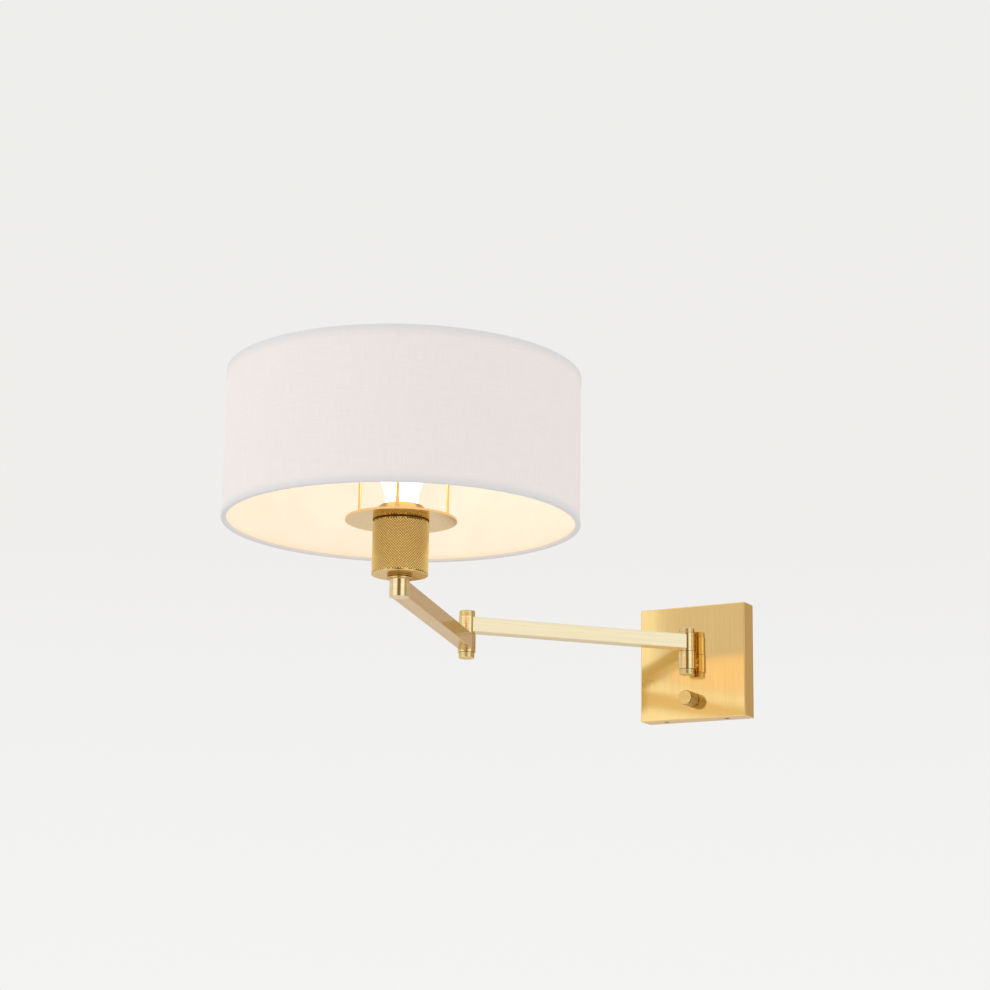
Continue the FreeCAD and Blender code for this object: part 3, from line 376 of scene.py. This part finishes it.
BY_SLOT = {
    "brushed_brass": BRUSHED_BRASS, "polished_brass": ROD_BRASS, "satin_brass": POST_BRASS,
    "knurled_brass": KNURL_BRASS, "zinc_steel": ZINC, "dark_steel": BLACK_STEEL, "green_paint": GREEN_SCREW,
    "dark_washer": FIBRE, "black_plastic": PHENOLIC, "porcelain": PORCELAIN, "socket_metal": SHELL,
    "opal_glass": OPAL, "white_wire": WHITE_WIRE, "warm_liner": LINER, "white_fabric": FABRIC,
    "hem_fabric": HEM_FABRIC,
}
BY_NODE = {
    "rear_arm_tube": REAR_BRASS, "front_arm_tube": FRONT_BRASS, "wall_hub_barrel": WALL_BRASS,
    "rear_arm_wall_barrel": WALL_BRASS, "wall_top_cap": WALL_CAP_BRASS, "wall_bottom_cap": WALL_CAP_BRASS,
    "wall_pivot_tube": GAP_SHADE_BRASS, "rear_arm_elbow_barrel": ELBOW_BRASS,
    "front_arm_elbow_barrel": ELBOW_BRASS, "elbow_top_cap": ELBOW_CAP_BRASS,
    "elbow_bottom_cap": ELBOW_CAP_BRASS, "elbow_pivot_tube": GAP_SHADE_BRASS, "neck_collar": COLLAR_BRASS,
    "retaining_ring": RING_BRASS, "shade_disc": DISC_BRASS,
}


def dress_frame():
    """Gives every CAD node its finish, by its own name or by its slot in the record."""
    for entry in frame["record"]["subparts"]:
        mesh = NODES[entry["node"]].data
        mesh.materials.clear()
        mesh.materials.append(BY_NODE.get(entry["node"], BY_SLOT[entry["material_slot"]]))


dress_frame()


# ---------------------------------------------------------------- making pieces

# Points nearer than this are one point, and faces that meet at more than this angle keep a crisp edge.
SAME_POINT = 0.001 * MM
CRISP_ANGLE = 30


def profile(bm, points, centre, closed=False):
    """A line of (radius, height) points in the upright plane through an axis."""
    made = [bm.verts.new((centre.x + reach, centre.y, level)) for reach, level in points]
    pairs = list(zip(made, made[1:])) + ([(made[-1], made[0])] if closed else [])
    return made + [bm.edges.new(pair) for pair in pairs]


def lathe(bm, points, centre, steps, closed=False):
    """Spins a profile once round an upright axis."""
    outline = profile(bm, points, centre, closed)
    bmesh.ops.spin(bm, geom=outline, cent=(centre.x, centre.y, 0), axis=(0, 0, 1), angle=math.tau,
                   steps=steps, use_merge=True)
    bmesh.ops.remove_doubles(bm, verts=bm.verts[:], dist=SAME_POINT)
    bmesh.ops.recalc_face_normals(bm, faces=bm.faces[:])


def unroll(bm, centre, radius):
    """UVs in metres, round the axis and up it, with the join at the back of the shade."""
    layer = bm.loops.layers.uv.new("threads")
    for face in bm.faces:
        spot = face.calc_center_median()
        home = math.atan2(spot.y - centre.y, spot.x - centre.x)
        for loop in face.loops:
            turn = math.atan2(loop.vert.co.y - centre.y, loop.vert.co.x - centre.x)
            turn += math.tau * round((home - turn) / math.tau)
            loop[layer].uv = (turn * radius, loop.vert.co.z)


def piece(name, bm, material, body):
    """Turns the mesh work into a finished piece that rides on a body."""
    mesh = bpy.data.meshes.new(name)
    bm.to_mesh(mesh)
    bm.free()
    mesh.polygons.foreach_set("use_smooth", [True] * len(mesh.polygons))
    mesh.set_sharp_from_angle(angle=math.radians(CRISP_ANGLE))
    mesh.materials.append(material)
    made = bpy.data.objects.new(name, mesh)
    bpy.context.scene.collection.objects.link(made)
    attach(made, body)
    return made


# ---------------------------------------------------------------- knurled cup and knob

def knurl(radius, low, high, centre, around, depth):
    """A ring of diamond pyramids: alternate points of a fine grid stand out, and grooves join the rest."""
    bm = bmesh.new()
    pitch = math.tau * radius / around
    rows = round((high - low) / pitch) * 2
    lathe(bm, [(radius, low), (radius, high)], centre, around * 2)
    uprights = [edge for edge in bm.edges if abs(edge.verts[0].co.z - edge.verts[1].co.z) > pitch]
    bmesh.ops.subdivide_edges(bm, edges=uprights, cuts=rows - 1, use_grid_fill=True)
    relief = bm.verts.layers.float.new("relief")
    valleys = []
    for vert in bm.verts:
        out = vert.co.xy - centre.xy
        column = round(math.atan2(out.y, out.x) / math.tau * around * 2)
        row = round((vert.co.z - low) / (high - low) * rows)
        if (column + row) % 2 or row in (0, rows):
            vert.co.xy = centre.xy + out * (1 - depth / radius)
            vert[relief] = -1.0
            valleys.append(vert)
        else:
            vert[relief] = 1.0
    bmesh.ops.connect_verts(bm, verts=valleys)
    return bm


# The real diamonds are 1.7 mm across, which is too fine to show, so the cup's are drawn 2.4 mm across.
CUP_DIAMONDS = 64
KNOB_DIAMONDS = 26


def make_cup():
    """The socket cup: a thin plain lip at each end and diamond knurling between."""
    low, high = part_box("socket_cup")
    radius = (high.x - low.x) / 2
    centre = middle("socket_cup")
    lip = 1.2 * MM
    depth = 0.6 * MM
    wall = 1.3 * MM
    joint = 0.9 * MM
    bm = knurl(radius, low.z + lip, high.z - lip, centre, CUP_DIAMONDS, depth)
    groove = radius - depth
    face = radius - 0.1 * MM
    inside = radius - wall
    hole = radius * 0.2
    bevel_in, bevel_up = radius - 0.6 * MM, low.z + 0.4 * MM
    lathe(bm, [(groove, low.z + lip), (face, low.z + lip), (face, bevel_up), (bevel_in, low.z), (hole, low.z),
               (hole, low.z + wall), (inside, low.z + wall), (inside, high.z), (radius - joint, high.z),
               (radius - joint, high.z - joint), (face, high.z - joint), (face, high.z - lip),
               (groove, high.z - lip)], centre, CUP_DIAMONDS * 2)
    # The step under the disc counts as groove, so it gets the grooves' painted shade: the dark line of the
    # joint.
    relief = bm.verts.layers.float["relief"]
    for vert in bm.verts:
        if vert.co.z > high.z - joint * 1.1:
            vert[relief] = -1.0
    cup = piece("knurled_socket_cup", bm, KNURL_BRASS, "front_arm")
    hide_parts("socket_cup")


def make_knob():
    """The dimmer knob: a knurled side, a plain turned face and a recess over the bushing nut."""
    low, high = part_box("dimmer_knob")
    centre = middle("dimmer_knob")
    radius = (high.x - low.x) / 2
    long = high.y - low.y
    edge = 0.5 * MM
    depth = 0.4 * MM
    bore, bore_deep = 3.1 * MM, 14.8 * MM
    recess, recess_deep = 6.65 * MM, 4.6 * MM
    axis = Vector((0, 0, 0))
    bm = knurl(radius, edge, long - edge, axis, KNOB_DIAMONDS, depth)
    rim = radius - depth
    lathe(bm, [(rim, long - edge), (rim, long), (recess, long), (recess, long - recess_deep),
               (bore, long - recess_deep), (bore, long - bore_deep), (0, long - bore_deep)],
          axis, KNOB_DIAMONDS * 2)
    lathe(bm, [(0, 0), (rim - 0.2 * MM, 0), (rim, edge)], axis, KNOB_DIAMONDS * 2)
    bmesh.ops.rotate(bm, verts=bm.verts[:], cent=axis, matrix=Matrix.Rotation(math.radians(-90), 3, "X"))
    bmesh.ops.translate(bm, verts=bm.verts[:], vec=(centre.x, low.y, centre.z))
    knob = piece("knurled_dimmer_knob", bm, KNOB_BRASS, "knob")
    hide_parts("dimmer_knob")


make_cup()
make_knob()


# ---------------------------------------------------------------- shade

# How many flats the drum's round is made of.
DRUM_STEPS = 160
CLOTH_THICK = 0.5 * MM
LINING_THICK = 0.3 * MM
# A hem is this deep from front to back, and its cloth reaches this far up outside and inside.
HEM_DEEP = 4.7 * MM
HEM_OUTSIDE = 8 * MM
HEM_INSIDE = 2.5 * MM
# The lap of the cloth: how wide, how proud, how far it stays off both rims, and its bearing, at the back.
LAP_WIDE = 12 * MM
LAP_PROUD = 0.2 * MM
LAP_SHORT = 1 * MM
LAP_BEARING = 115
LAP_STEPS = 6


def make_wall(name, node, material, thick, has_threads):
    """A drum's thin wall between its rims, as wide and tall as the CAD node that it stands for."""
    low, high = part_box(node)
    centre = middle(node)
    face = (high.x - low.x) / 2
    bm = bmesh.new()
    lathe(bm, [(face, low.z), (face, high.z), (face - thick, high.z), (face - thick, low.z)], centre,
          DRUM_STEPS, True)
    if has_threads:
        unroll(bm, centre, face)
    wall = piece(name, bm, material, "front_arm")
    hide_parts(node)
    return wall


def make_hem(end, upward, panel_face, centre):
    """The binding folded round a hoop: rounded at the rim, and thin where it ends on the cloth."""
    low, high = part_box("shade_%s_hem" % end)
    rim = low.z if upward > 0 else high.z
    face = (high.x - low.x) / 2
    back = face - HEM_DEEP
    round_off = 1.2 * MM
    bm = bmesh.new()
    lathe(bm, [(reach, rim + rise * upward) for reach, rise in (
        (back, HEM_INSIDE), (back, 0.6 * MM), (back + 0.4 * MM, 0.1 * MM), (back + round_off, 0),
        (face - round_off, 0), (face - 0.4 * MM, 0.1 * MM), (face, 0.7 * MM), (face, 2 * MM),
        (panel_face + 0.05 * MM, HEM_OUTSIDE), (face - CLOTH_THICK, HEM_OUTSIDE),
        (face - CLOTH_THICK, 1 * MM), (face - round_off, CLOTH_THICK), (back + round_off, CLOTH_THICK),
        (back + CLOTH_THICK, 1 * MM), (back + CLOTH_THICK, HEM_INSIDE))], centre, DRUM_STEPS, True)
    unroll(bm, centre, face)
    hem = piece("shade_%s_binding" % end, bm, HEM_FABRIC, "front_arm")
    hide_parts("shade_%s_hem" % end)
    return hem


def make_lap(low, high, panel_face, centre):
    """The upright seam where one end of the cloth is glued over the other."""
    proud = panel_face + LAP_PROUD
    foot, head = low.z + LAP_SHORT, high.z - LAP_SHORT
    bm = bmesh.new()
    strip = profile(bm, [(panel_face, foot), (proud, foot), (proud, head), (panel_face, head)], centre)
    bearing = Matrix.Rotation(math.radians(LAP_BEARING), 3, "Z")
    bmesh.ops.rotate(bm, verts=bm.verts[:], cent=centre, matrix=bearing)
    bmesh.ops.spin(bm, geom=strip, cent=centre, axis=(0, 0, 1), angle=LAP_WIDE / panel_face,
                   steps=LAP_STEPS)
    bmesh.ops.holes_fill(bm, edges=bm.edges[:])
    bmesh.ops.recalc_face_normals(bm, faces=bm.faces[:])
    unroll(bm, centre, panel_face)
    return piece("shade_lap_seam", bm, FABRIC, "front_arm")


def make_shade():
    """The cloth panel, the lining inside it, its two folded hems and the lap at the back."""
    low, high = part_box("shade_fabric")
    centre = middle("shade_fabric")
    panel_face = (high.x - low.x) / 2
    panel = make_wall("shade_panel", "shade_fabric", FABRIC, CLOTH_THICK, True)
    make_wall("shade_lining", "shade_liner", LINER, LINING_THICK, False)
    trims = [make_hem("bottom", 1, panel_face, centre), make_hem("top", -1, panel_face, centre),
             make_lap(low, high, panel_face, centre)]


make_shade()


# ---------------------------------------------------------------- studio

# What the metal mirrors all round, by its bearing: soft boxes on both sides of the camera, a dark gap between
# them, a tan stretch past each box, and pale walls.
ROOM = (
    (0.0, "#E6DFD0"), (0.05, "#DDD6C6"), (0.09, "#D2C8AE"), (0.12, "#EAE2D2"), (0.15, "#FFFDFA"),
    (0.21, "#FFFFFF"), (0.262, "#FFFFFF"), (0.278, "#A08A60"), (0.33, "#6E522B"), (0.372, "#A68A5E"),
    (0.4, "#FFFFFF"), (0.488, "#FFFFFF"), (0.506, "#C9B493"), (0.53, "#BEAA86"), (0.565, "#A38B5C"),
    (0.62, "#CFC0B0"), (0.667, "#B5A493"), (0.75, "#CCC0B3"), (0.85, "#CFC5BA"), (0.92, "#E0D8C8"),
    (1.0, "#E6DFD0"))
# What the metal mirrors overhead and underfoot.
CEILING = (0.9, 0.9, 0.9, 1)
# How bright that room is in the metal, and how bright the light is that falls on everything from all round.
MIRRORED = 1.1
AMBIENT = 0.9
# The lamp hangs high enough above the floor to be looked at from below. The floor runs far out.
HUNG_AT = 2.6
FLOOR_REACH = 16.0
# What the soft lamps are aimed at.
AIM = (-0.1, -0.3, 0.05)
# Each soft lamp's name, place and side in metres, power in watts and colour.
SOFT_LAMPS = (
    ("key", (-1.9, -2.3, 1.3), 1.8, 10, "#FFFFFF"),
    ("fill", (2.6, -1.4, 0.6), 1.6, 3, "#FFF8F0"),
    ("top", (-0.1, -0.7, 2.4), 1.6, 4, "#FFFFFF"))


def studio():
    """A pale floor, an off-white surround and soft lamps."""
    bm = bmesh.new()
    bmesh.ops.create_circle(bm, cap_ends=True, segments=96, radius=FLOOR_REACH)
    bmesh.ops.translate(bm, verts=bm.verts[:], vec=(0, 0, -HUNG_AT))
    mesh = bpy.data.meshes.new("floor")
    bm.to_mesh(mesh)
    bm.free()
    floor = bpy.data.objects.new("floor", mesh)
    # Pale smooth plaster: matt and nearly white.
    mesh.materials.append(plain("pale_plaster_floor", "#F6F6F5", "#F8F8F7", 80 * MM, 0.1 * MM, Roughness=0.9))
    bpy.context.scene.collection.objects.link(floor)

    world = bpy.data.worlds.new("studio")
    bpy.context.scene.world = world
    world.use_nodes = True
    tree = world.node_tree
    tree.nodes.clear()
    # Where a ray goes: its bearing from 0 to 1, with the back wall at 0.75 and the camera near 0.33.
    sight = add(tree, "ShaderNodeTexCoord").outputs["Object"]
    away = add(tree, "ShaderNodeSeparateXYZ", links={"Vector": sight}).outputs
    bearing = add(tree, "ShaderNodeMath", {"operation": "ARCTAN2"}, links={0: away["Y"], 1: away["X"]})
    share = add(tree, "ShaderNodeMapRange", values={"From Min": -math.pi, "From Max": math.pi},
                links={"Value": bearing.outputs[0]})
    room = add(tree, "ShaderNodeValToRGB", links={"Fac": share.outputs["Result"]},
               stops=ROOM).outputs["Color"]
    rise = add(tree, "ShaderNodeMath", {"operation": "ABSOLUTE"}, links={0: away["Z"]})
    ceiling = add(tree, "ShaderNodeMapRange", {"interpolation_type": "SMOOTHSTEP"},
                  {"From Min": 0.4, "From Max": 0.85}, {"Value": rise.outputs[0]})
    mirrored = add(tree, "ShaderNodeMix", {"data_type": "RGBA"}, {MIX_B: CEILING},
                   {MIX_SHARE: ceiling.outputs["Result"], MIX_A: room})
    wall = add(tree, "ShaderNodeValToRGB", links={"Fac": away["Z"]}, stops=(
        (0.0, "#F4F4F3"), (0.12, "#F2F2F1"), (0.22, "#EFEEEC"), (0.5, "#EEEEEC"))).outputs["Color"]
    backdrop = add(tree, "ShaderNodeBackground", values={"Strength": 1.0}, links={"Color": wall})
    around = add(tree, "ShaderNodeBackground", values={"Color": srgb("#FFFBF8"), "Strength": AMBIENT})
    mirror = add(tree, "ShaderNodeBackground", values={"Strength": MIRRORED},
                 links={"Color": mirrored.outputs[MIX_RESULT]})
    ray = add(tree, "ShaderNodeLightPath").outputs
    lit = add(tree, "ShaderNodeMixShader",
              links={0: ray["Is Glossy Ray"], 1: around.outputs[0], 2: mirror.outputs[0]})
    both = add(tree, "ShaderNodeMixShader",
               links={0: ray["Is Camera Ray"], 1: lit.outputs[0], 2: backdrop.outputs[0]})
    add(tree, "ShaderNodeOutputWorld", links={"Surface": both.outputs[0]})

    for name, place, size, power, colour in SOFT_LAMPS:
        lamp = bpy.data.lights.new(name, "AREA")
        lamp.shape = "SQUARE"
        lamp.size = size
        lamp.energy = power
        lamp.color = srgb(colour)[:3]
        rig = bpy.data.objects.new(name, lamp)
        rig.location = place
        aim = Vector(AIM) - Vector(place)
        rig.rotation_euler = aim.to_track_quat("-Z", "Y").to_euler()
        rig.visible_camera = False
        rig.visible_glossy = False
        bpy.context.scene.collection.objects.link(rig)


studio()
